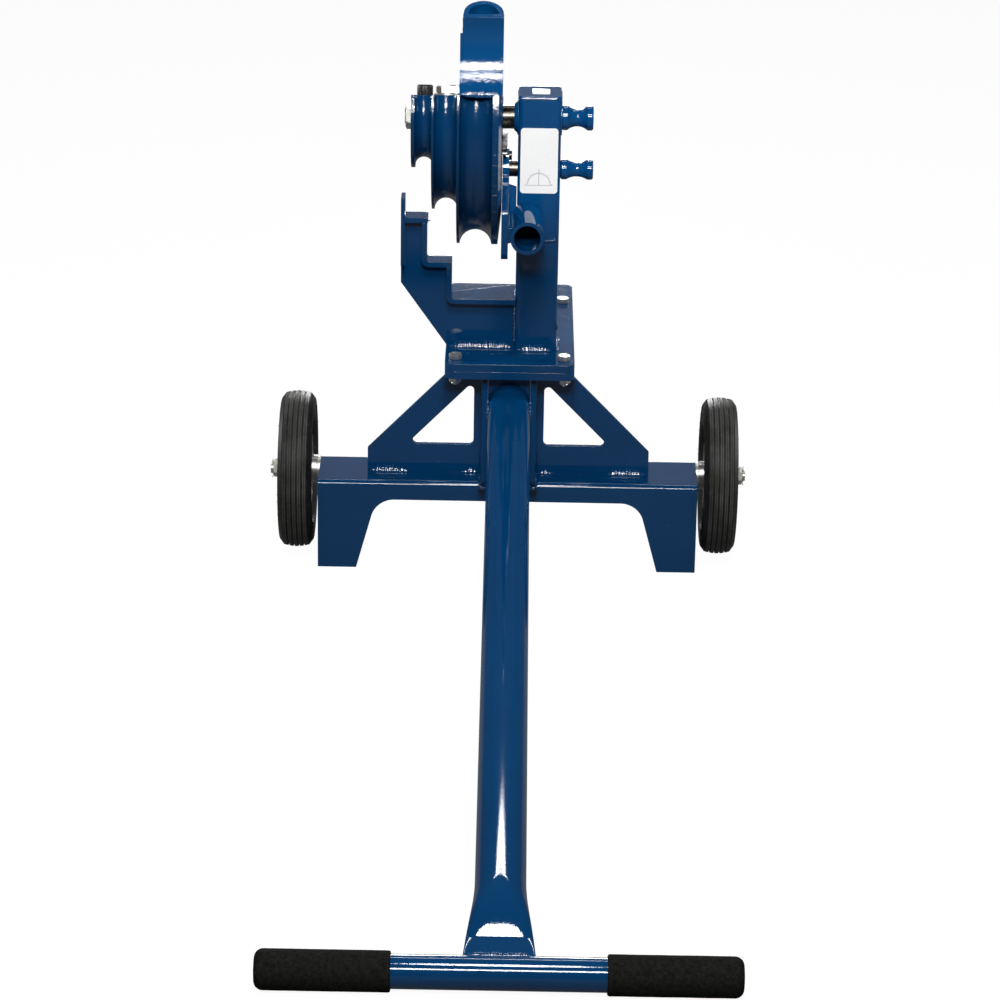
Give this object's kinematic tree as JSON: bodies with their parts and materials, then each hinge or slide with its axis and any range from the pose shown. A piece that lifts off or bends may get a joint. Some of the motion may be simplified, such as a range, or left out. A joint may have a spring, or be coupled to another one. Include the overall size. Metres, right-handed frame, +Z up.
{
  "type": "mechanical conduit bender",
  "caption": "Floor-standing hand conduit bender: grooved bending shoe with hook and ratchet lever on a post, stepped conduit rest, wheeled stand and tow handle.",
  "frame": {"origin": "on the floor under the centre of the overall box", "axes": "+Z up, -Y along the tow tube to the T-handle, +X to the right seen from the T-handle, along the bending shaft and the wheel axle"},
  "size_m": [0.586, 1.3862, 0.7157],
  "materials": {
    "blue_paint": "gloss",
    "blue_casting": "gloss",
    "zinc_steel": "satin",
    "dark_steel": "satin",
    "black_steel": "satin",
    "rim_steel": "satin",
    "tyre": "matte",
    "foam": "matte",
    "bush": "matte",
    "label": "satin"
  },
  "bodies": {
    "frame": {"crossbeam": "blue_paint", "cross_plate": "blue_paint", "end_plate_left": "blue_paint", "end_plate_right": "blue_paint", "cheek_left": "blue_paint", "cheek_right": "blue_paint", "gusset_left": "blue_paint", "gusset_right": "blue_paint", "lower_base_plate": "blue_paint", "upper_base_plate": "blue_paint", "tow_tube": "blue_paint", "handle_bar": "blue_paint", "column": "blue_paint", "column_cap": "blue_paint", "shaft_sleeve": "blue_paint", "pin_sleeve": "blue_paint", "rest_plate": "blue_paint", "large_pad": "blue_paint", "medium_pad": "blue_paint", "small_pad": "blue_paint", "conduit_guard": "blue_paint", "grip_left": "foam", "grip_right": "foam", "axle": "zinc_steel", "axle_washers": "zinc_steel", "axle_nuts": "zinc_steel", "cotter_pins": "zinc_steel", "base_bolts": "zinc_steel", "base_washers": "zinc_steel", "base_nuts": "zinc_steel", "column_label": "label"},
    "shoe": {"bending_shoe": "blue_casting", "set_bolt": "zinc_steel", "set_washer": "zinc_steel", "set_screw": "black_steel", "drive_shaft": "dark_steel", "shoe_washer": "zinc_steel", "shoe_nut": "zinc_steel", "shaft_knob": "blue_paint", "ratchet_segment": "dark_steel", "ratchet_screws": "black_steel", "hook_strap": "blue_paint", "hook_saddle": "blue_paint", "hook_brace": "blue_paint", "hook_lug": "blue_paint"},
    "lever": {"lever_plate": "blue_paint", "handle_socket": "blue_paint", "socket_rib": "blue_paint", "pawl_pin": "dark_steel"},
    "pawl": {"drive_pawl": "dark_steel"},
    "pin": {"lever_pin": "dark_steel", "pin_knob": "blue_paint"},
    "wheel_left": {"tyre_left": "tyre", "rim_left": "rim_steel", "hub_bush_left": "bush"},
    "wheel_right": {"tyre_right": "tyre", "rim_right": "rim_steel", "hub_bush_right": "bush"}
  },
  "joints": [
    {"name": "shoe_turn", "type": "hinge", "parent": "frame", "child": "shoe", "pos_m": [0, 0.45227, 0.55505], "axis": [1, 0, 0], "range_deg": [-10, 100]},
    {"name": "lever_swing", "type": "hinge", "parent": "frame", "child": "lever", "pos_m": [0, 0.45227, 0.49155], "axis": [1, 0, 0], "range_deg": [-50, 0]},
    {"name": "pawl_lift", "type": "hinge", "parent": "lever", "child": "pawl", "pos_m": [0, 0.50228, 0.49355], "axis": [1, 0, 0], "range_deg": [-25, 0]},
    {"name": "lever_pin_pull", "type": "slide", "parent": "frame", "child": "pin", "axis": [1, 0, 0], "range_m": [0, 0.065]},
    {"name": "wheel_left_spin", "type": "hinge", "parent": "frame", "child": "wheel_left", "pos_m": [-0.2595, 0.45713, 0.1016], "axis": [1, 0, 0], "continuous": true},
    {"name": "wheel_right_spin", "type": "hinge", "parent": "frame", "child": "wheel_right", "pos_m": [0.2595, 0.45713, 0.1016], "axis": [1, 0, 0], "continuous": true}
  ]
}
